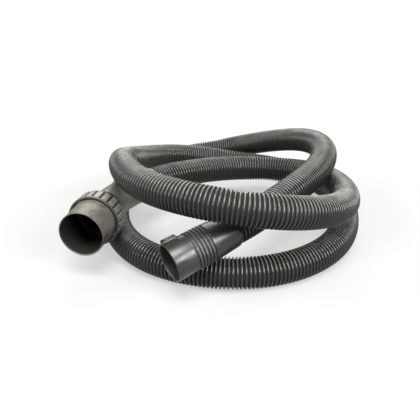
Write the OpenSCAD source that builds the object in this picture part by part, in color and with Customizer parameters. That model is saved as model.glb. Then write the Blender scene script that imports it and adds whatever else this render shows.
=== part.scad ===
// Vacuum hose: a ribbed suction hose lying in loose loops, with a swivelling machine connector
// on a bent neck at one end and a swivelling tapered tool cuff at the other.
// Millimetres, +Z up, the floor at Z = 0, the origin under the middle of the loops.

/* [Hose] */
// Outside diameter of the hose over its ribs
hose_od = 43; // [40:0.5:43]
// Inside diameter of the hose
hose_id = 36; // [30:0.5:37]
// Sides of the plain tube that stands for the ribbed hose
hose_sides = 12; // [8:1:12]

/* [Machine connector] */
// Outside diameter of the smooth spigot that plugs into the machine
spigot_od = 62.5; // [58:0.5:63]
// Wall of the spigot
spigot_wall = 1.75; // [1.25:0.25:2.5]
// Length of spigot that stands out of the grip collar
spigot_reach = 40; // [30:1:48]
// Outside diameter of the grip collar over its rims
collar_od = 73; // [72:0.5:76]
// Number of raised blocks around the grip collar
collar_blocks = 20; // [12:1:24]
// Outside diameter of the bent neck
neck_od = 47.4; // [47:0.1:49]
// Radius of the bend along the middle of the neck
neck_bend_r = 200; // [180:5:240]
// Angle of the bend in the neck
neck_bend = 27; // [10:1:35]

/* [Tool cuff] */
// Outside diameter of the cuff at its mouth
cuff_od = 51; // [50:0.5:52]
// Bore that a tool pushes into
cuff_bore_d = 46.4; // [46.2:0.1:46.8]
// Length of the whole cuff
cuff_len = 95; // [88:1:110]
// Number of grooves in the grip
cuff_grooves = 6; // [3:1:7]
// Travel of the release button
button_travel = 1.5; // [0.5:0.25:1.75]

/* [Hidden] */
$fn = 96;
run_gap = 0.05;   // radial clearance of a running fit
side_gap = 0.05;  // end clearance beside a swivel flange

hose_r = hose_od / 2;
bush_in_r = hose_r + 0.15;

// Machine connector, along its own axis from the mouth of the spigot
machine_mouth = [-191, -200, 67.5];
machine_az = 78;
spigot_r = spigot_od / 2;
spigot_in_r = spigot_r - spigot_wall;
spigot_root_r = spigot_r + 0.6;
flange_r = spigot_r + 1.75;
collar_r = collar_od / 2;
collar_in_r = flange_r + 0.1;
collar_z = spigot_reach;
snap_z = collar_z + 11.8;
snap_t = 2;
spigot_flange_z = snap_z + snap_t + 0.2;
spigot_len = spigot_flange_z + 4;
slip_t = 1.5;
neck_flange_z = spigot_len + slip_t + side_gap;
neck_flange_t = 5;
rear_slip_z = neck_flange_z + neck_flange_t + side_gap;
cap_z = rear_slip_z + slip_t;
collar_rear_z = collar_z + 27;
cap_rear_z = collar_z + 44;
neck_r = neck_od / 2;
neck_in_r = hose_r - 1;
neck_arc_z = 80;
neck_socket_len = 24;
neck_socket_r = bush_in_r + 0.95;
hub_r = spigot_in_r - 0.7;

// Tool cuff, along its own axis from its mouth
tool_mouth = [-73, -254, 56.5];
tool_az = 32;
tool_tilt = 12.5;
cuff_r = cuff_od / 2;
cuff_bore_r = cuff_bore_d / 2;
socket_end_r = cuff_bore_r + 0.35;
socket_len = 27;
grip_z = 28;
grip_pitch = 4.8;
grip_end_z = grip_z + cuff_grooves * grip_pitch;
grip_r = cuff_r - 0.2;
stop_t = 6;
tool_seal_t = 2.6;
tool_flange_z = socket_len + stop_t + tool_seal_t;
tool_flange_t = 3;
tool_slip_z = tool_flange_z + tool_flange_t + side_gap;
tool_slip_t = 1.4;
tool_land_z = tool_slip_z + tool_slip_t;
tool_bush_len = 24;
tool_bush_r = bush_in_r + 0.8;

// Release button, in the raised housing on top of the cuff
button_turn = 166;
housing_len = 20;
housing_w = 11;
housing_top = cuff_r + 4.5;
ledge_r = housing_top - 1 - button_travel - 0.5; // leaves 0.5 under the pressed button for the flat spring
button_mid_z = 10.5;

// Directions and ends of the hose
function heading(az, tilt) = [cos(az) * cos(tilt), sin(az) * cos(tilt), sin(tilt)];
tool_dir = heading(tool_az, tool_tilt);
machine_dir = heading(machine_az, 0);
neck_end_az = machine_az - neck_bend;
neck_end_dir = heading(neck_end_az, 0);
neck_end = machine_mouth + neck_arc_z * machine_dir
    + neck_bend_r * [sin(machine_az) - sin(neck_end_az), cos(neck_end_az) - cos(machine_az), 0];
hose_start_z = tool_flange_z + tool_flange_t;
f = hose_r; // height of the hose's middle where it lies on the floor

// Middle line of the hose, from the tool cuff to the machine connector
route = concat(
    [for (s = [hose_start_z, cuff_len, cuff_len + 35]) tool_mouth + s * tool_dir],
    [[100, -115, 98], [150, -40, 101], [175, 50, 104], [155, 140, 93], [95, 215, 64],
     [15, 260, 34], [-85, 242, f], [-162, 160, f], [-184, 60, f], [-178, -45, f],
     [-153, -129, f], [-99, -194, f], [-5, -228, f], [90, -210, f], [162, -145, f],
     [193, -60, f], [205, 35, f], [173, 122, f], [100, 182, f], [15, 212, f],
     [-70, 195, 42], [-137, 130, 60], [-163, 35, 88], [-157, -65, 120], [-125, -165, 126],
     [-55, -232, 132], [30, -256, 127], [113, -222, 107], [173, -130, 76], [190, -30, 64],
     [165, 52, 56], [97, 98, 48], [5, 88, 54], [-72, 26, 66]],
    [for (s = [neck_socket_len + 25, neck_socket_len, 3]) neck_end + s * neck_end_dir]);

// The middle line is a uniform cubic B-spline whose ends run straight into the fittings
ends = concat([2 * route[0] - route[1]], route, [2 * route[len(route) - 1] - route[len(route) - 2]]);
steps = 2; // rings in each span
function spline_at(i, t) =
    (pow(1 - t, 3) * ends[i] + (3 * pow(t, 3) - 6 * t * t + 4) * ends[i + 1]
     + (-3 * pow(t, 3) + 3 * t * t + 3 * t + 1) * ends[i + 2] + pow(t, 3) * ends[i + 3]) / 6;
line = concat([for (i = [0 : len(route) - 2]) for (k = [0 : steps - 1]) spline_at(i, k / steps)],
              [route[len(route) - 1]]);

// Rings of the tube: each frame is turned from the one before by the least amount
function unit(v) = v / norm(v);
function tangent(i) = i == 0 ? unit(line[1] - line[0])
    : i == len(line) - 1 ? unit(line[i] - line[i - 1]) : unit(line[i + 1] - line[i - 1]);
function carried(v, t) = unit(v - (v * t) * t);
function sides_of(i, v) = i == len(line) ? []
    : let (n = carried(v, tangent(i))) concat([n], sides_of(i + 1, n));
side_dirs = sides_of(0, [0, 0, 1]);
function ring(i, r) = let (n = side_dirs[i], b = cross(tangent(i), n))
    [for (k = [0 : hose_sides - 1]) let (a = 360 * k / hose_sides) line[i] + r * (cos(a) * n + sin(a) * b)];

module swept_tube(r_out, r_in) {
    m = hose_sides;
    n = len(line);
    wall = m * n;
    points = concat([for (i = [0 : n - 1]) each ring(i, r_out)], [for (i = [0 : n - 1]) each ring(i, r_in)]);
    outer = [for (i = [0 : n - 2]) for (k = [0 : m - 1]) let (j = (k + 1) % m)
        each [[i * m + k, (i + 1) * m + k, (i + 1) * m + j], [i * m + k, (i + 1) * m + j, i * m + j]]];
    inner = [for (face = outer) [wall + face[2], wall + face[1], wall + face[0]]];
    last = (n - 1) * m;
    start_cap = [for (k = [0 : m - 1]) let (j = (k + 1) % m)
        each [[k, j, wall + j], [k, wall + j, wall + k]]];
    end_cap = [for (k = [0 : m - 1]) let (j = (k + 1) % m)
        each [[last + j, last + k, wall + last + k], [last + j, wall + last + k, wall + last + j]]];
    polyhedron(points, concat(outer, inner, start_cap, end_cap));
}

module at_machine() { translate(machine_mouth) rotate([0, 90, machine_az]) children(); }
module at_tool() { translate(tool_mouth) rotate([0, 90 - tool_tilt, tool_az]) children(); }
module at_neck_bend() { translate([0, -neck_bend_r, neck_arc_z]) rotate([90, 0, 90]) children(); }
module at_neck_end() {
    at_neck_bend() rotate([0, 0, neck_bend]) translate([neck_bend_r, 0, 0]) rotate([-90, 0, 0]) children();
}
module at_button() { at_tool() rotate([0, 0, button_turn]) children(); }

// A ring with a square section
module band(r_in, r_out, z, length) {
    translate([0, 0, z]) difference() {
        cylinder(r = r_out, h = length);
        translate([0, 0, -1]) cylinder(r = r_in, h = length + 2);
    }
}
// A block from its two corners
module block(low, high) { translate(low) cube(high - low); }

module hose() { color("#2b2b2b") swept_tube(hose_r, hose_id / 2); }

module machine_spigot() {
    lip = 0.6;
    color("#6b655c") at_machine() rotate_extrude() polygon([
        [spigot_in_r, lip], [spigot_in_r + lip, 0], [spigot_r - lip, 0], [spigot_r, lip],
        [spigot_r, spigot_reach - 1], [spigot_root_r, spigot_reach - 1], [spigot_root_r, spigot_flange_z],
        [flange_r, spigot_flange_z], [flange_r, spigot_len], [spigot_in_r, spigot_len]]);
}

module grip_collar() {
    rim = 2.5;
    base_r = collar_r - 1.6;
    block_z = collar_z + 4;
    block_len = 20;
    color("#5a554c") at_machine() {
        rotate_extrude() polygon([
            [collar_in_r, collar_z + 0.5], [collar_in_r + 0.5, collar_z], [collar_r - 0.6, collar_z],
            [collar_r, collar_z + 0.8], [collar_r, collar_z + rim], [base_r, collar_z + rim + 0.6],
            [base_r, collar_rear_z - 1.5], [base_r - 0.7, collar_rear_z], [collar_in_r, collar_rear_z],
            [collar_in_r, snap_z + snap_t + 0.1], [collar_in_r + 0.9, snap_z + snap_t + 0.1],
            [collar_in_r + 0.9, snap_z - 0.1], [collar_in_r, snap_z - 0.1]]);
        for (k = [0 : collar_blocks - 1]) rotate([0, 0, 360 * (k + 0.5) / collar_blocks])
            block([base_r - 0.8, -3.9, block_z], [collar_r - 0.3, 3.9, block_z + block_len]);
    }
}

module rear_cap() {
    color("#33322e") at_machine() rotate_extrude() polygon([
        [neck_r + 1, cap_z], [collar_in_r - run_gap, cap_z], [collar_in_r - run_gap, collar_rear_z + 0.05],
        [collar_r - 2.6, collar_rear_z + 0.05], [collar_r - 3.2, collar_rear_z + 3],
        [collar_r - 5, collar_rear_z + 8], [neck_r + 3.5, cap_rear_z - 1], [neck_r + 2.5, cap_rear_z],
        [neck_r + run_gap, cap_rear_z], [neck_r + run_gap, cap_rear_z - 6], [neck_r + 1, cap_rear_z - 7]]);
}

module collar_snap_ring() {
    color("#9aa0a3") at_machine() translate([0, 0, snap_z])
        rotate_extrude(angle = 340) translate([spigot_root_r + 0.1, 0])
            square([collar_in_r + 0.8 - spigot_root_r - 0.1, snap_t]);
}

module front_slip_ring() { color("#2b2b2a") at_machine() band(hub_r + 0.3, flange_r - 0.3, spigot_len, slip_t); }
module rear_slip_ring() { color("#2b2b2a") at_machine() band(neck_r + 1.1, flange_r - 0.3, rear_slip_z, slip_t); }

module machine_seal() {
    color("#151515") at_machine()
        band(hub_r - 1.4, spigot_in_r - run_gap, spigot_len - 5, 3);
}

module bent_neck() {
    hub_z = spigot_len - 8;
    flange_top = neck_flange_z + neck_flange_t;
    lap = 0.3; // the bent run is let into the straight ends by this much all round, and this many degrees
    color("#4c4a46") at_machine() {
        rotate_extrude() polygon([
            [neck_in_r - lap, hub_z], [hub_r, hub_z], [hub_r, spigot_len - 5], [hub_r - 1.4, spigot_len - 5],
            [hub_r - 1.4, spigot_len - 2], [hub_r, spigot_len - 2], [hub_r, neck_flange_z],
            [flange_r - 0.5, neck_flange_z], [flange_r - 0.5, flange_top], [neck_r, flange_top],
            [neck_r, neck_arc_z], [neck_in_r - lap, neck_arc_z]]);
        at_neck_bend() rotate([0, 0, -lap]) rotate_extrude(angle = neck_bend + 2 * lap)
            translate([neck_bend_r, 0]) difference() {
                circle(neck_r - lap);
                circle(neck_in_r);
            }
        at_neck_end() rotate_extrude() polygon([
            [neck_in_r - lap, 0], [neck_r, 0], [neck_r, neck_socket_len], [neck_socket_r, neck_socket_len],
            [neck_socket_r, 3], [neck_in_r - lap, 3]]);
    }
}

module machine_bush() {
    color("#1c1c1c") at_machine() at_neck_end() rotate_extrude() polygon([
        [bush_in_r, 3], [neck_socket_r - 0.05, 3], [neck_socket_r - 0.05, neck_socket_len + 0.05],
        [neck_r - 0.3, neck_socket_len + 0.05], [neck_r - 0.8, neck_socket_len + 2.5],
        [bush_in_r, neck_socket_len + 2.5]]);
}

module tool_cuff() {
    groove_w = 1.5;
    groove_depth = 0.9;
    end_r = hose_r + 1.5;
    color("#35332f") difference() {
        at_tool() difference() {
            union() {
                rotate_extrude() polygon([
                    [cuff_bore_r + 0.7, 0], [cuff_r - 0.5, 0], [cuff_r, 0.8], [cuff_r - 0.3, grip_z],
                    [grip_r, grip_end_z], [grip_r - 0.3, grip_end_z + 1],
                    [end_r, cuff_len - 2], [end_r - 0.7, cuff_len], [hose_r + 0.4, cuff_len],
                    [hose_r + 0.4, tool_land_z + 22], [tool_bush_r + run_gap, tool_land_z + 21],
                    [tool_bush_r + run_gap, tool_land_z], [socket_end_r, tool_land_z],
                    [socket_end_r, socket_len], [cuff_bore_r, socket_len], [cuff_bore_r, 0.7]]);
                rotate([0, 0, button_turn]) housing_shell();
            }
            for (k = [0 : cuff_grooves - 1])
                band(grip_r - groove_depth, grip_r + 2, grip_z + (k + 0.3) * grip_pitch, groove_w);
        }
        at_button() button_well();
    }
}

// Raised housing of the button, with rounded ends, standing in the wall of the cuff
module housing_shell() {
    corner = 2.5;
    translate([cuff_bore_r + 0.8, 0, 0]) rotate([0, 90, 0]) linear_extrude(housing_top - cuff_bore_r - 0.8)
        hull() for (z = [-corner - 0.3, -housing_len + corner]) for (y = [-1, 1])
            translate([z, y * (housing_w / 2 - corner)]) circle(corner, $fn = 32);
}

// Space for the button: a slot through the wall, and a wider well above the ledge
module button_well() {
    block([cuff_bore_r - 2, -1.9, button_mid_z - 5.7], [housing_top, 1.9, button_mid_z + 5.7]);
    block([ledge_r, -3.3, button_mid_z - 7.3], [housing_top + 2, 3.3, button_mid_z + 7.3]);
}

module release_button() {
    color("#242424") at_button() union() {
        block([cuff_bore_r + 1.8, -1.5, button_mid_z - 5.3], [housing_top - 1, 1.5, button_mid_z + 5.3]);
        block([housing_top - 1, -2.9, button_mid_z - 6.9], [housing_top + 0.2, 2.9, button_mid_z + 6.9]);
    }
}

module button_spring() {
    leaf = 0.3;
    rise = housing_top - 1 - ledge_r - leaf - 0.05;
    color("#b8bcc0") at_button() difference() {
        translate([0, 2.7, 0]) rotate([90, 0, 0]) linear_extrude(5.4) polygon([
            [ledge_r, button_mid_z - 7], [ledge_r + leaf, button_mid_z - 7],
            [ledge_r + rise + leaf, button_mid_z], [ledge_r + leaf, button_mid_z + 7],
            [ledge_r, button_mid_z + 7], [ledge_r + rise, button_mid_z]]);
        block([ledge_r - 1, -1.9, button_mid_z - 5.7], [housing_top, 1.9, button_mid_z + 5.7]);
    }
}

module tool_stop_ring() {
    color("#1c1c1c") at_tool() rotate_extrude() polygon([
        [hose_id / 2 + 1.5, socket_len], [socket_end_r - 0.6, socket_len], [socket_end_r, socket_len + 0.6],
        [socket_end_r, socket_len + stop_t], [hose_id / 2 + 0.5, socket_len + stop_t],
        [hose_id / 2 + 0.5, socket_len + 1]]);
}

module tool_seal() {
    color("#151515") at_tool()
        band(hose_id / 2 + 1, socket_end_r - 0.1, socket_len + stop_t, tool_seal_t - side_gap);
}

module tool_slip_ring() {
    color("#2b2b2a") at_tool() band(tool_bush_r + 0.1, socket_end_r - 0.1, tool_slip_z, tool_slip_t);
}

module tool_bush() {
    color("#1c1c1c") at_tool() rotate_extrude() polygon([
        [hose_id / 2 + 0.6, tool_flange_z], [cuff_bore_r - 0.15, tool_flange_z],
        [cuff_bore_r - 0.15, tool_flange_z + tool_flange_t], [tool_bush_r, tool_flange_z + tool_flange_t],
        [tool_bush_r, tool_flange_z + tool_bush_len - 0.4], [tool_bush_r - 0.4, tool_flange_z + tool_bush_len],
        [bush_in_r, tool_flange_z + tool_bush_len], [bush_in_r, tool_flange_z + tool_flange_t],
        [hose_id / 2 + 0.6, tool_flange_z + tool_flange_t]]);
}

hose();
machine_spigot();
grip_collar();
rear_cap();
collar_snap_ring();
front_slip_ring();
rear_slip_ring();
machine_seal();
bent_neck();
machine_bush();
tool_cuff();
tool_stop_ring();
tool_seal();
tool_slip_ring();
tool_bush();
release_button();
button_spring();
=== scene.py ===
import bpy, math
import numpy as np
from mathutils import Matrix, Vector


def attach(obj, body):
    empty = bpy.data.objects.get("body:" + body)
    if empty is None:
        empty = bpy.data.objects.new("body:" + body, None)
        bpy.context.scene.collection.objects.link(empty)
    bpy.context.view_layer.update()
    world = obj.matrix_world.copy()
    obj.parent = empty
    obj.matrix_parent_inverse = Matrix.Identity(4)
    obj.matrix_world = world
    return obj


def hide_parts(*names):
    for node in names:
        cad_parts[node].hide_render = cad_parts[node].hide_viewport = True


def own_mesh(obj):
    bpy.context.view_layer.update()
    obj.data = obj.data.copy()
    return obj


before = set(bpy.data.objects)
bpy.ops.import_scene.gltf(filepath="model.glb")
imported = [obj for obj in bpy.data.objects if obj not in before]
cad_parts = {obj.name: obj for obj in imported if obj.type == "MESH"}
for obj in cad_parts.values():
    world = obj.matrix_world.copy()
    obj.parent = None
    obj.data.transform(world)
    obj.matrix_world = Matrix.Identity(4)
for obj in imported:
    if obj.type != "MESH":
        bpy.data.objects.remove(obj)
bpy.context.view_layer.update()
MM = 0.001


def add_object(name, data):
    obj = bpy.data.objects.new(name, data)
    bpy.context.scene.collection.objects.link(obj)
    return obj


# ---------------------------------------------------------------- camera
camera = add_object("camera", bpy.data.cameras.new("camera"))
camera.location = (-0.023, -0.809, 0.387)
camera.rotation_euler = (math.radians(65), 0, 0)
camera.data.sensor_width = 36
camera.data.lens = 45.26
camera.data.clip_start = 0.01
bpy.context.scene.camera = camera


# ---------------------------------------------------------------- places, in millimetres, as in the CAD
def heading(azimuth, tilt):
    a, t = math.radians(azimuth), math.radians(tilt)
    return np.array([math.cos(a) * math.cos(t), math.sin(a) * math.cos(t), math.sin(t)])


HOSE_R, HOSE_IN_R = 21.5, 18.0
LYING_Z = HOSE_R  # height of the hose's line where it lies on the floor

MACHINE_MOUTH, MACHINE_AZ = np.array([-191.0, -200.0, 67.5]), 78
TOOL_MOUTH, TOOL_AZ, TOOL_TILT = np.array([-73.0, -254.0, 56.5]), 32, 12.5
MACHINE_DIR = heading(MACHINE_AZ, 0)
TOOL_DIR = heading(TOOL_AZ, TOOL_TILT)

# the connector's axis runs straight from its mouth for NECK_STRAIGHT; then the neck bends right, level with the floor
NECK_BEND_R, NECK_BEND, NECK_STRAIGHT, NECK_SOCKET = 200.0, 27, 80.0, 24.0
NECK_SIDE = heading(MACHINE_AZ - 90, 0)
NECK_END_DIR = heading(MACHINE_AZ - NECK_BEND, 0)


def neck_point(turned_by):
    """The neck's centre after a bend of turned_by radians."""
    return (MACHINE_MOUTH + NECK_STRAIGHT * MACHINE_DIR
            + NECK_BEND_R * (math.sin(turned_by) * MACHINE_DIR + (1 - math.cos(turned_by)) * NECK_SIDE))


NECK_END = neck_point(math.radians(NECK_BEND))
HOSE_START, CUFF_LEN = 38.6, 95.0

ROUTE = [TOOL_MOUTH + s * TOOL_DIR for s in (HOSE_START, CUFF_LEN, CUFF_LEN + 35)]
ROUTE += [np.array(p, float) for p in (
    (100, -115, 98), (150, -40, 101), (175, 50, 104), (155, 140, 93), (95, 215, 64),
    (15, 260, 34), (-85, 242, LYING_Z), (-162, 160, LYING_Z), (-184, 60, LYING_Z), (-178, -45, LYING_Z),
    (-153, -129, LYING_Z), (-99, -194, LYING_Z), (-5, -228, LYING_Z), (90, -210, LYING_Z), (162, -145, LYING_Z),
    (193, -60, LYING_Z), (205, 35, LYING_Z), (173, 122, LYING_Z), (100, 182, LYING_Z), (15, 212, LYING_Z),
    (-70, 195, 42), (-137, 130, 60), (-163, 35, 88), (-157, -65, 120), (-125, -165, 126),
    (-55, -232, 132), (30, -256, 127), (113, -222, 107), (173, -130, 76), (190, -30, 64),
    (165, 52, 56), (97, 98, 48), (5, 88, 54), (-72, 26, 66))]
ROUTE += [NECK_END + s * NECK_END_DIR for s in (NECK_SOCKET + 25, NECK_SOCKET, 3)]


# ---------------------------------------------------------------- paths
class Path:
    """A line with a frame at every point; at(s) gives centres and two cross axes, s in millimetres."""

    def __init__(self, points):
        self.points = np.asarray(points, float)
        steps = np.linalg.norm(np.diff(self.points, axis=0), axis=1)
        self.s = np.concatenate([[0], np.cumsum(steps)])
        self.length = self.s[-1]
        tangents = np.gradient(self.points, self.s, axis=0)
        tangents /= np.linalg.norm(tangents, axis=1)[:, None]
        n = np.array([0.0, 0.0, 1.0])
        up = []
        for t in tangents:
            n = n - (n @ t) * t
            n /= np.linalg.norm(n)
            up.append(n)
        self.up, self.tangents = np.array(up), tangents

    def at(self, s):
        def between(values):
            return np.stack([np.interp(s, self.s, values[:, i]) for i in range(3)], axis=1)

        centre, up, t = between(self.points), between(self.up), between(self.tangents)
        # past either end the line runs on straight
        over = (np.maximum(s - self.length, 0) + np.minimum(s, 0))[:, None]
        centre = centre + over * t
        t /= np.linalg.norm(t, axis=1)[:, None]
        up -= (up * t).sum(1)[:, None] * t
        up /= np.linalg.norm(up, axis=1)[:, None]
        return centre, up, np.cross(t, up)


def straight(mouth, direction):
    reach = 200  # longer than either fitting
    return Path([mouth + direction * s for s in np.linspace(0, reach, 9)])


def bspline(points):
    """A smooth cubic curve that follows the points and starts and ends on them."""
    per_span = 24
    p = np.array([2 * points[0] - points[1]] + list(points) + [2 * points[-1] - points[-2]])
    out = []
    for i in range(len(points) - 1):
        for k in range(per_span):
            t = k / per_span
            out.append(((1 - t) ** 3 * p[i] + (3 * t ** 3 - 6 * t * t + 4) * p[i + 1]
                        + (-3 * t ** 3 + 3 * t * t + 3 * t + 1) * p[i + 2] + t ** 3 * p[i + 3]) / 6)
    out.append(points[-1])
    return out


def neck_line():
    bend_steps = 40
    points = [MACHINE_MOUTH + MACHINE_DIR * s for s in np.linspace(0, NECK_STRAIGHT, 9)[:-1]]
    points += [neck_point(math.radians(NECK_BEND) * k / bend_steps) for k in range(bend_steps + 1)]
    points += [NECK_END + NECK_END_DIR * s for s in (5, 15, NECK_SOCKET, NECK_SOCKET + 10)]
    return Path(points)


hose_path = Path(bspline(ROUTE))
machine_path = straight(MACHINE_MOUTH, MACHINE_DIR)
tool_path = straight(TOOL_MOUTH, TOOL_DIR)
neck_path = neck_line()


# ---------------------------------------------------------------- meshes
def mesh_object(name, verts, faces, painted_shade):
    """verts in millimetres; the last argument is one value per point, read by the materials as painted shade: 1 = deep
    inside or groove, painted near black.
    """
    mesh = bpy.data.meshes.new(name)
    mesh.from_pydata((np.asarray(verts) * MM).tolist(), [], faces)
    layer = mesh.attributes.new("painted_shade", "FLOAT", "POINT")
    layer.data.foreach_set("value", np.asarray(painted_shade, np.float32))
    mesh.validate()
    return add_object(name, mesh)


def smooth(obj, angle=35):
    for polygon in obj.data.polygons:
        polygon.use_smooth = True
    obj.data.set_sharp_from_angle(angle=math.radians(angle))


def baked(obj):
    """The object's mesh with its modifiers applied."""
    return bpy.data.meshes.new_from_object(obj.evaluated_get(bpy.context.evaluated_depsgraph_get()))


def turned(name, profile, path, segments, relief=None, angle=35):
    """A solid of revolution swept along a path. profile: a closed ring of (s, r, painted shade); relief adds to r."""
    s, r, painted_shade = np.array(profile).T
    centre, up, side = path.at(s)
    theta = np.linspace(0, 2 * math.pi, segments, endpoint=False)
    radius = np.repeat(r[:, None], segments, axis=1)
    if relief is not None:
        radius = radius + relief(s[:, None], r[:, None], theta[None, :])
    verts = (centre[:, None, :] + radius[..., None]
             * (np.cos(theta)[None, :, None] * up[:, None, :] + np.sin(theta)[None, :, None] * side[:, None, :]))
    row, next_row = np.arange(len(s))[:, None] * segments, (np.arange(len(s))[:, None] + 1) % len(s) * segments
    j = np.arange(segments)[None, :]
    next_j = (j + 1) % segments
    faces = np.stack([row + j, row + next_j, next_row + next_j, next_row + j], axis=-1).reshape(-1, 4)
    obj = mesh_object(name, verts.reshape(-1, 3), faces.tolist(), np.repeat(painted_shade, segments))
    smooth(obj, angle)
    return obj


def rounded(corners):
    """Rows of (s, r, fillet, painted shade) round a closed section become (s, r, painted shade) points with filleted
    corners.
    """
    steps = 3
    out = []
    for i, corner in enumerate(corners):
        s, r, fillet, painted_shade = (tuple(corner) + (0.0, 0.0))[:4]
        here = np.array([s, r], float)
        before, after = np.array(corners[i - 1][:2], float), np.array(corners[(i + 1) % len(corners)][:2], float)
        u, v = before - here, after - here
        lu, lv = np.linalg.norm(u), np.linalg.norm(v)
        cut = min(fillet, 0.45 * lu, 0.45 * lv)
        if cut < 1e-3:
            out.append((s, r, painted_shade))
            continue
        p, q = here + u / lu * cut, here + v / lv * cut
        for k in range(steps + 1):
            t = k / steps
            point = (1 - t) ** 2 * p + 2 * t * (1 - t) * here + t * t * q
            out.append((point[0], point[1], painted_shade))
    return out


def axes_matrix(mouth, direction, turn=0.0):
    """Local +Z runs along the connector, local -X points up; turn is about +Z."""
    z = Vector(direction)
    y = Vector((0, 0, 1)).cross(z).normalized()
    x = y.cross(z)
    m = Matrix((x, y, z)).transposed().to_4x4()
    m.translation = Vector(mouth) * MM
    return m @ Matrix.Rotation(math.radians(turn), 4, "Z")


def soft_box(low, high, round_by, steps=3):
    """A mesh of a box with rounded edges, from its corners, in local millimetres."""
    mesh = bpy.data.meshes.new("box")
    corners = [(x, y, z) for x in (low[0], high[0]) for y in (low[1], high[1]) for z in (low[2], high[2])]
    faces = [(0, 1, 3, 2), (4, 6, 7, 5), (0, 4, 5, 1), (2, 3, 7, 6), (0, 2, 6, 4), (1, 5, 7, 3)]
    mesh.from_pydata([tuple(c * MM for c in p) for p in corners], [], faces)
    obj = add_object("box", mesh)
    bevel = obj.modifiers.new("bevel", "BEVEL")
    bevel.width, bevel.segments, bevel.limit_method = round_by * MM, steps, "NONE"
    result = baked(obj)
    bpy.data.objects.remove(obj)
    return result


def merged(name, parts):
    """One object from (mesh, matrix) pairs; the meshes' own points are in metres."""
    verts, faces, painted_shades = [], [], []
    for mesh, matrix in parts:
        first = len(verts)
        verts += [matrix @ v.co for v in mesh.vertices]
        faces += [[first + v for v in p.vertices] for p in mesh.polygons]
        layer = mesh.attributes.get("painted_shade")
        painted_shades += [d.value for d in layer.data] if layer else [0.0] * len(mesh.vertices)
    obj = mesh_object(name, np.array([tuple(v) for v in verts]) / MM, faces, painted_shades)
    smooth(obj)
    return obj


# ---------------------------------------------------------------- materials
PAINTED_SHADE_COLOUR, INSIDE_ROUGHNESS = (0.005, 0.005, 0.0047), 0.6  # bores and grooves of the mouldings: painted shade, near black, and their roughness


class Shader:
    """One Principled material and short ways to build its node tree. A plain number stands for that grey."""

    def __init__(self, name, roughness, specular=0.5):
        self.material = bpy.data.materials.new(name)
        self.material.use_nodes = True
        self.nodes, self.links = self.material.node_tree.nodes, self.material.node_tree.links
        self.inputs = self.nodes["Principled BSDF"].inputs
        self.inputs["Roughness"].default_value = roughness
        self.inputs["Specular IOR Level"].default_value = specular
        self.coords = self.nodes.new("ShaderNodeTexCoord").outputs["Object"]

    def rgba(self, value):
        return tuple(value) + (1.0,) if isinstance(value, tuple) else (value, value, value, 1.0)

    def colour(self, socket):
        self.links.new(socket, self.inputs["Base Color"])

    def roughness(self, socket):
        self.links.new(socket, self.inputs["Roughness"])

    def attribute(self, name):
        node = self.nodes.new("ShaderNodeAttribute")
        node.attribute_name = name
        return node.outputs["Fac"]

    def facing_up(self):
        split = self.nodes.new("ShaderNodeSeparateXYZ")
        self.links.new(self.nodes.new("ShaderNodeNewGeometry").outputs["Normal"], split.inputs[0])
        return split.outputs["Z"]

    def noise(self, scale, detail=3.0, rough=0.55, stretch=None):
        node = self.nodes.new("ShaderNodeTexNoise")
        node.inputs["Scale"].default_value = scale
        node.inputs["Detail"].default_value = detail
        node.inputs["Roughness"].default_value = rough
        coords = self.coords
        if stretch is not None:
            mapping = self.nodes.new("ShaderNodeMapping")
            mapping.inputs["Scale"].default_value = stretch
            self.links.new(coords, mapping.inputs["Vector"])
            coords = mapping.outputs["Vector"]
        self.links.new(coords, node.inputs["Vector"])
        return node.outputs["Fac"]

    def ramp(self, fac, *stops):
        """stops are (position, colour or grey) pairs."""
        node = self.nodes.new("ShaderNodeValToRGB")
        elements = node.color_ramp.elements
        while len(elements) < len(stops):
            elements.new(0.5)
        for element, (position, value) in zip(elements, stops):
            element.position = position
            element.color = self.rgba(value)
        self.links.new(fac, node.inputs["Fac"])
        return node.outputs["Color"]

    def mix(self, fac, a, b):
        """a where fac is 0, b where it is 1; b may be a colour or a grey."""
        node = self.nodes.new("ShaderNodeMix")
        node.data_type = "RGBA"
        self.links.new(fac, node.inputs[0])
        self.links.new(a, node.inputs[6])
        node.inputs[7].default_value = self.rgba(b)
        return node.outputs[2]

    def multiply(self, a, b, clamp=False):
        node = self.nodes.new("ShaderNodeMath")
        node.operation = "MULTIPLY"
        node.use_clamp = clamp
        self.links.new(a, node.inputs[0])
        if isinstance(b, float):
            node.inputs[1].default_value = b
        else:
            self.links.new(b, node.inputs[1])
        return node.outputs[0]

    def bump(self, height, strength, distance):
        node = self.nodes.new("ShaderNodeBump")
        node.inputs["Strength"].default_value = strength
        node.inputs["Distance"].default_value = distance
        self.links.new(height, node.inputs["Height"])
        self.links.new(node.outputs["Normal"], self.inputs["Normal"])


def plastic(name, dark, light, dust_and_highlight, dust_amount, roughness, specular=0.5, blotch=28.0):
    """Moulded plastic: fine grain, soft blotches of scale blotch, and a dusty layer settled on what faces up; bores and
    grooves are painted near black as shade.
    """
    sh = Shader(name, roughness, specular)
    base = sh.ramp(sh.noise(blotch, 4.0, 0.6), (0.3, dark), (0.7, light))
    settle = sh.multiply(sh.ramp(sh.facing_up(), (0.0, 0.15), (0.9, 1.0)),
                         sh.ramp(sh.noise(140.0, 5.0, 0.7), (0.3, 0.5), (0.75, 1.0)))
    dusty = sh.mix(sh.multiply(settle, dust_amount, clamp=True), base, dust_and_highlight)
    # painted shade: bores and grooves darkened to near black
    inside = sh.attribute("painted_shade")
    sh.colour(sh.mix(inside, dusty, PAINTED_SHADE_COLOUR))
    wear = sh.ramp(sh.noise(60.0, 3.0, 0.6), (0.3, roughness - 0.07), (0.7, roughness + 0.1))
    sh.roughness(sh.mix(inside, wear, INSIDE_ROUGHNESS))
    sh.bump(sh.noise(900.0, 2.0, 0.5), 0.35, 0.00004)
    return sh.material


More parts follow.
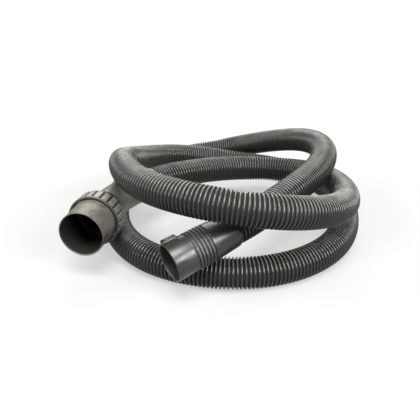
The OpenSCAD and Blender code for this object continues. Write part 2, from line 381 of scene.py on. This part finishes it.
def hose_plastic():
    """Crests are worn a little lighter and dusty, with a painted highlight on what faces up; the grooves are painted
    near black, partly dirt and partly painted shade.
    """
    sh = Shader("hose_ribbed", 0.22, 0.38)
    crest = sh.ramp(sh.noise(9.0), (0.32, (0.005, 0.0053, 0.005)), (0.68, (0.013, 0.0127, 0.011)))
    # partly dust, partly painted highlight: what faces up is lightened towards a warm grey
    dust_and_highlight = sh.multiply(sh.ramp(sh.facing_up(), (0.2, 0.0), (0.65, 0.08), (1.0, 0.75)),
                       sh.ramp(sh.noise(45.0, 4.0, 0.65), (0.35, 0.3), (0.7, 1.0)))
    crest = sh.mix(dust_and_highlight, crest, (0.22, 0.213, 0.183))
    # the grooves are painted near black: painted shade, partly dirt
    groove = sh.attribute("painted_shade")
    sh.colour(sh.mix(groove, crest, (0.0025, 0.0025, 0.0023)))
    gloss = sh.ramp(sh.noise(30.0), (0.3, 0.16), (0.7, 0.28))
    sh.roughness(sh.mix(groove, gloss, 0.88))
    sh.bump(sh.noise(700.0, 2.0), 0.25, 0.00003)
    return sh.material


def stained_plastic():
    """The spigot: warm grey-brown, rubbed light on top, with darker stains round the sides; its inside is painted black
    as shade.
    """
    sh = Shader("spigot_worn", 0.42, 0.3)
    base = sh.ramp(sh.noise(38.0, 4.0, 0.6), (0.3, (0.02, 0.0175, 0.0145)), (0.7, (0.062, 0.054, 0.044)))
    rubbed = sh.multiply(sh.ramp(sh.facing_up(), (0.1, 0.0), (0.95, 0.9)),
                         sh.ramp(sh.noise(70.0, 5.0, 0.65), (0.3, 0.55), (0.65, 1.0)))
    base = sh.mix(rubbed, base, (0.085, 0.081, 0.066))
    stain = sh.ramp(sh.noise(55.0, 5.0, 0.7, stretch=(1.0, 1.0, 1.6)), (0.5, 0.0), (0.64, 0.75))
    base = sh.mix(stain, base, (0.014, 0.012, 0.01))
    # painted shade: the bore darkened to near black
    inside = sh.attribute("painted_shade")
    sh.colour(sh.mix(inside, base, PAINTED_SHADE_COLOUR))
    gloss = sh.ramp(sh.noise(60.0), (0.3, 0.36), (0.7, 0.5))
    sh.roughness(sh.mix(inside, gloss, INSIDE_ROUGHNESS))
    sh.bump(sh.noise(800.0, 2.0), 0.3, 0.00004)
    return sh.material


def steel():
    sh = Shader("spring_steel", 0.3)
    sh.inputs["Metallic"].default_value = 1.0
    sh.colour(sh.ramp(sh.noise(80.0), (0.3, (0.4, 0.42, 0.44)), (0.7, (0.6, 0.61, 0.63))))
    sh.roughness(sh.ramp(sh.noise(400.0), (0.3, 0.22), (0.7, 0.4)))
    return sh.material


def white_floor():
    sh = Shader("floor_white", 0.9, 0.1)
    sh.colour(sh.ramp(sh.noise(2.0), (0.3, 0.13), (0.7, 0.135)))
    sh.inputs["Emission Color"].default_value = (1, 1, 1, 1)
    sh.inputs["Emission Strength"].default_value = 0.45
    return sh.material


# plastics: dark and light base colour, dust colour, amount of dust, roughness
MAT = {
    "hose": hose_plastic(),
    "spigot": stained_plastic(),
    "collar": plastic("collar_moulded", (0.011, 0.011, 0.01), (0.024, 0.0235, 0.02), (0.17, 0.165, 0.135),
                      0.75, 0.42, blotch=60.0),
    "cap": plastic("cap_black", (0.005, 0.005, 0.005), (0.01, 0.01, 0.009), (0.04, 0.04, 0.034), 0.3, 0.4),
    "neck": plastic("neck_satin", (0.01, 0.01, 0.009), (0.03, 0.03, 0.026), (0.11, 0.11, 0.092),
                    0.65, 0.36, specular=0.25, blotch=45.0),
    "cuff": plastic("cuff_semigloss", (0.006, 0.006, 0.0057), (0.012, 0.012, 0.0106), (0.035, 0.035, 0.031),
                    0.15, 0.31, specular=0.42),
    "button": plastic("button_semigloss", (0.01, 0.01, 0.0095), (0.019, 0.019, 0.017), (0.04, 0.04, 0.036),
                      0.3, 0.32),
    "bush": plastic("bush_black", (0.014, 0.014, 0.014), (0.028, 0.028, 0.028), (0.07, 0.07, 0.064), 0.2, 0.5),
    "slip": plastic("slip_acetal", (0.02, 0.02, 0.02), (0.032, 0.032, 0.032), (0.07, 0.07, 0.064), 0.2, 0.4),
    "seal": plastic("seal_rubber", (0.013, 0.013, 0.013), (0.021, 0.021, 0.021), (0.055, 0.055, 0.052), 0.2, 0.7),
    "steel": steel(),
}


def finish_piece(obj, mat, body, slot, *nodes):
    obj.data.materials.clear()
    obj.data.materials.append(MAT[mat])
    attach(obj, body)
    if nodes:
        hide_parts(*nodes)


# ---------------------------------------------------------------- the hose
PITCH, RIB_DEPTH, HOSE_SIDES = 5.15, 2.9, 36
# one rib: share of the pitch, share of the rib's depth
RIB = [(0.00, 0.00), (0.18, 0.02), (0.25, 0.40), (0.31, 0.78), (0.39, 0.95), (0.50, 1.0), (0.61, 0.95), (0.69, 0.78),
       (0.75, 0.40), (0.82, 0.02)]
ROOT_R = HOSE_R - RIB_DEPTH
ribs = int((hose_path.length - 4) / PITCH)
rib_start = (hose_path.length - ribs * PITCH) / 2
outer = [(0.0, ROOT_R, 1.0)]
for i in range(ribs):
    for u, h in RIB:
        # the last value is the painted shade: near black in the grooves, none on the crests
        outer.append((rib_start + (i + u) * PITCH, HOSE_R - RIB_DEPTH * (1 - h), min(1.0, 1.25 * (1 - h))))
outer.append((hose_path.length, ROOT_R, 1.0))
inner = [(s, HOSE_IN_R, 1.0) for s in np.linspace(hose_path.length, 0, 180)]
hose = turned("ribbed_hose", outer + inner, hose_path, HOSE_SIDES, angle=80)
finish_piece(hose, "hose", "hose_body", "hose_plastic", "hose")


# ---------------------------------------------------------------- machine connector, s from the spigot's mouth
SPIGOT_R, SPIGOT_IN_R = 31.25, 29.5
FLANGE_R, FLANGE_FRONT, FLANGE_BACK = 33.0, 54, 58
# a corner's fourth value is painted shade: black in the bore
spigot = turned("machine_spigot_shell", rounded([
    (0, SPIGOT_R, 0.7), (39, SPIGOT_R, 0.1), (39.3, SPIGOT_R + 0.6, 0.1), (FLANGE_FRONT, SPIGOT_R + 0.6),
    (FLANGE_FRONT, FLANGE_R, 0.3), (FLANGE_BACK, FLANGE_R, 0.3), (FLANGE_BACK, SPIGOT_IN_R, 0.3, 1),
    (1.5, SPIGOT_IN_R, 0.2, 1), (0, SPIGOT_IN_R + 0.35, 0.4, 0.0)]), machine_path, 128)
finish_piece(spigot, "spigot", "machine_connector", "spigot_plastic", "machine_spigot")

COLLAR_R, COLLAR_BASE, COLLAR_IN_R = 36.5, 34.9, 33.1
COLLAR_FRONT, COLLAR_BACK = 40, 67
RING_R, RING_FRONT, RING_BACK = 34.0, 51.7, 54.1  # groove for the snap ring
# painted shade: on the base between the grip blocks, round the front and back rims, black inside
collar = turned("grip_collar_shell", rounded([
    (COLLAR_FRONT, 33.3, 0.4, 0.8), (COLLAR_FRONT, COLLAR_R, 0.5, 0.6), (42.6, COLLAR_R, 0.6, 0.5),
    (43.4, COLLAR_BASE, 0.4, 0.9), (65.5, COLLAR_BASE, 0.6, 0.9), (COLLAR_BACK, 34.2, 0.3, 0.5),
    (COLLAR_BACK, COLLAR_IN_R, 0, 1), (RING_BACK, COLLAR_IN_R, 0, 1), (RING_BACK, RING_R, 0, 1),
    (RING_FRONT, RING_R, 0, 1), (RING_FRONT, COLLAR_IN_R, 0, 1), (41, COLLAR_IN_R, 0.2, 1)]), machine_path, 128)

NECK_R, NECK_IN_R = 23.7, 20.2
CAP_FRONT, CAP_BACK = 67.05, 84
CAP_STEP_R, CAP_STEP_FRONT = 33.05, 66.2  # the step that sits in the back of the collar
# painted shade: a little on the front rim, black inside
cap = turned("rear_cap_shell", rounded([
    (CAP_FRONT, 33.9, 0.3, 0.3), (70, 33.3, 1.5), (75, 31.5, 2.5), (83, NECK_R + 3.5, 0.8),
    (CAP_BACK, NECK_R + 2.4, 0.4), (CAP_BACK, NECK_R + 0.05, 0.2, 0.8), (78, NECK_R + 0.05, 0.1, 1),
    (77, NECK_R + 1, 0, 1), (CAP_STEP_FRONT, NECK_R + 1, 0, 1), (CAP_STEP_FRONT, CAP_STEP_R, 0, 1),
    (CAP_FRONT, CAP_STEP_R, 0, 1)]), machine_path, 96)
finish_piece(cap, "cap", "machine_connector", "neck_plastic", "rear_cap")

GRIP_BLOCKS, BLOCK_HALF_WIDTH = 20, 3.9
machine_axes = axes_matrix(MACHINE_MOUTH, MACHINE_DIR)
block = soft_box([COLLAR_BASE - 0.8, -BLOCK_HALF_WIDTH, 44.0], [COLLAR_R - 0.2, BLOCK_HALF_WIDTH, 64.0], 0.7)
parts = [(block, machine_axes @ Matrix.Rotation(2 * math.pi * (k + 0.5) / GRIP_BLOCKS, 4, "Z"))
         for k in range(GRIP_BLOCKS)]
parts.append((collar.data, Matrix.Identity(4)))
collar_full = merged("grip_collar_moulding", parts)
bpy.data.objects.remove(collar)
finish_piece(collar_full, "collar", "machine_connector", "collar_plastic", "grip_collar")

HUB_R, HUB_FRONT = 28.8, 50
SEAL_GROOVE, SEAL_FRONT, SEAL_BACK = 1.4, 53, 56  # depth and ends of the seal's groove in the hub
SWIVEL_R, SWIVEL_FRONT, SWIVEL_BACK = 32.5, 59.55, 64.55  # the flange that turns in the collar
SOCKET_R = 22.6
bend_end = NECK_STRAIGHT + NECK_BEND_R * math.radians(NECK_BEND)
neck_back = bend_end + NECK_SOCKET
# painted shade: black on the hub and in the bore, half on the swivel flange and the socket's end
neck_profile = rounded([
    (HUB_FRONT, NECK_IN_R, 0.3, 1), (HUB_FRONT, HUB_R, 0.4, 1), (SEAL_FRONT, HUB_R, 0, 1),
    (SEAL_FRONT, HUB_R - SEAL_GROOVE, 0, 1), (SEAL_BACK, HUB_R - SEAL_GROOVE, 0, 1), (SEAL_BACK, HUB_R, 0, 1),
    (SWIVEL_FRONT, HUB_R, 0, 1), (SWIVEL_FRONT, SWIVEL_R, 0.3, 0.5), (SWIVEL_BACK, SWIVEL_R, 0.3, 0.5),
    (SWIVEL_BACK, NECK_R, 0.3, 0.5)])
neck_profile += [(s, NECK_R, 0.0) for s in np.linspace(70, neck_back - 6, 40)]
neck_profile += rounded([
    (neck_back - 5, NECK_R, 0.0), (neck_back - 4.5, NECK_R + 0.5, 0.4), (neck_back, NECK_R + 0.5, 0.5),
    (neck_back, SOCKET_R, 0.2, 0.5), (bend_end + 3, SOCKET_R, 0, 1), (bend_end + 3, NECK_IN_R, 0, 1)])
neck_profile += [(s, NECK_IN_R, 1.0) for s in np.linspace(bend_end - 2, 56, 30)]
neck = turned("bent_neck_shell", neck_profile, neck_path, 72)
finish_piece(neck, "neck", "hose_body", "neck_plastic", "bent_neck")


# ---------------------------------------------------------------- tool cuff, s from the cuff's mouth
CUFF_R, CUFF_BORE = 25.5, 23.2
CUFF_CLEAR_R, BUSH_R, THROAT_R = CUFF_BORE + 0.35, 22.5, 21.9  # the bore behind the tool, step by step
GRIP_START, GRIP_PITCH, GROOVES = 28.0, 4.8, 6
GRIP_R, GROOVE_R = CUFF_R - 0.2, CUFF_R - 1.5
TOOTH_R, TOOTH_STEP = GRIP_R + 0.12, 0.315  # the ridges between grooves, which carry the serration
GRIP_END = GRIP_START + GROOVES * GRIP_PITCH
# painted shade: near black in the grip's grooves and the bore, a little where the grip starts
cuff_corners = [(0, CUFF_R, 0.8), (GRIP_START - 0.3, CUFF_R - 0.3, 0.5), (GRIP_START, GRIP_R - 0.3, 0.2, 0.3)]
for k in range(GROOVES):
    z = GRIP_START + (k + 0.3) * GRIP_PITCH
    cuff_corners += [(z - 0.2, GRIP_R, 0.35, 0.0), (z + 0.1, GROOVE_R, 0.15, 1.0),
                     (z + 1.7, GROOVE_R, 0.15, 1.0), (z + 2.0, GRIP_R, 0.35, 0.0)]
    if k < GROOVES - 1:
        cuff_corners += [(z + 2.0 + t * TOOTH_STEP, TOOTH_R, 0.0, 0.0) for t in range(1, 8)]
cuff_corners += [
    (GRIP_END + 1.5, GRIP_R - 0.2, 0.8), (CUFF_LEN - 2.2, 23.0, 0.9), (CUFF_LEN, 22.2, 0.3),
    (CUFF_LEN, THROAT_R, 0.0, 1), (61.5, THROAT_R, 0, 1), (60.5, BUSH_R, 0, 1), (40.1, BUSH_R, 0, 1),
    (40.1, CUFF_CLEAR_R, 0, 1), (27, CUFF_CLEAR_R, 0, 1), (27, CUFF_BORE, 0, 1), (2.2, CUFF_BORE, 0.6, 1.0),
    (0, CUFF_BORE + 0.9, 0.6, 0.0)]


def serration(s, r, theta):
    """Fine slanted teeth on the ridges of the grip."""
    on_ridge = (r > GRIP_R + 0.05) & (s > GRIP_START) & (s < GRIP_END)
    return np.where(on_ridge, 0.16 * np.sin(theta * 120 + s * 1.6), 0.0)


cuff = turned("tool_cuff_shell", rounded(cuff_corners), tool_path, 384, relief=serration, angle=40)
finish_piece(cuff, "cuff", "cuff", "cuff_plastic", "tool_cuff")

# the button's pieces, in the cuff's local axes turned to the button: x outwards, y across, z along the cuff
BUTTON_TURN, BUTTON_MID = 166, 10.5
HOUSING_TOP, LEDGE_R = CUFF_R + 4.5, CUFF_R + 1.5  # LEDGE_R is the floor of the well that the spring rests on
button_axes = axes_matrix(TOOL_MOUTH, TOOL_DIR, BUTTON_TURN)


def button_box(low_r, high_r, half_width, half_length, round_by, steps=3):
    """A rounded box about the button's middle, between two radii from the cuff's axis."""
    return soft_box([low_r, -half_width, BUTTON_MID - half_length], [high_r, half_width, BUTTON_MID + half_length],
                    round_by, steps)


housing_mesh = soft_box([CUFF_BORE + 0.9, -5.5, 0.4], [HOUSING_TOP, 5.5, 20.2], 1.6, 4)
housing = merged("button_housing", [(housing_mesh, button_axes)])
for name, low_r, high_r, half_width, half_length in (("well", LEDGE_R, HOUSING_TOP + 2, 3.3, 7.3),
                                                     ("slot", CUFF_BORE, HOUSING_TOP, 1.9, 5.7)):
    cutter = merged(name, [(button_box(low_r, high_r, half_width, half_length, 0.3, 2), button_axes)])
    cut = housing.modifiers.new(name, "BOOLEAN")
    cut.operation, cut.object, cut.solver = "DIFFERENCE", cutter, "EXACT"
    cut_mesh = baked(housing)
    housing.modifiers.clear()
    housing.data = cut_mesh
    bpy.data.objects.remove(cutter)
smooth(housing)
finish_piece(housing, "cuff", "cuff", "cuff_plastic")

plate = button_box(HOUSING_TOP - 1, HOUSING_TOP + 0.2, 2.9, 6.9, 0.5)
stem = button_box(CUFF_R + 1.7, HOUSING_TOP - 0.8, 1.5, 5.3, 0.2, 2)
ridge = button_box(HOUSING_TOP - 0.6, HOUSING_TOP + 1.0, 1.0, 6.3, 0.5)
button = merged("release_button_moulding", [(m, button_axes) for m in (plate, stem, ridge)])
finish_piece(button, "button", "button", "button_plastic", "release_button")


# ---------------------------------------------------------------- CAD pieces that stay
for name, mat in (("collar_snap_ring", "steel"), ("front_slip_ring", "slip"), ("rear_slip_ring", "slip"),
                  ("machine_seal", "seal"), ("machine_bush", "bush"), ("tool_stop_ring", "bush"), ("tool_seal", "seal"),
                  ("tool_slip_ring", "slip"), ("tool_bush", "bush"), ("button_spring", "steel")):
    for material_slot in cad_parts[name].material_slots:
        material_slot.material = MAT[mat]

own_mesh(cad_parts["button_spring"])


# ---------------------------------------------------------------- floor and light
FLOOR_HALF = 60  # metres
mesh = bpy.data.meshes.new("floor")
mesh.from_pydata([(x * FLOOR_HALF, y * FLOOR_HALF, 0) for x, y in ((-1, -1), (1, -1), (1, 1), (-1, 1))], [],
                 [(0, 1, 2, 3)])
mesh.materials.append(white_floor())
add_object("floor", mesh)


def sun(name, towards, strength, angle, colour=(1, 1, 1)):
    """A very large, very distant soft box in the direction towards."""
    data = bpy.data.lights.new(name, "SUN")
    data.energy, data.angle, data.color = strength, math.radians(angle), colour
    add_object(name, data).rotation_euler = Vector(towards).to_track_quat("Z", "Y").to_euler()


sun("overhead", (0.05, -0.38, 1.0), 6.6, 32, (1.0, 0.995, 0.96))
sun("right_softbox", (0.9, -0.12, 0.38), 3.0, 26)
sun("front_right_softbox", (0.62, -0.56, 0.5), 4.4, 24)
sun("front_left_softbox", (-0.68, -0.56, 0.42), 3.4, 20)
sun("left_softbox", (-0.8, -0.05, 0.5), 2.2, 30)
sun("back_softbox", (0.0, 0.85, 0.6), 2.2, 45)

world = bpy.data.worlds.new("world")
world.use_nodes = True
background = world.node_tree.nodes["Background"].inputs
background["Color"].default_value = (1, 1, 1, 1)
background["Strength"].default_value = 0.15
bpy.context.scene.world = world
bpy.context.scene.view_settings.view_transform = "Standard"
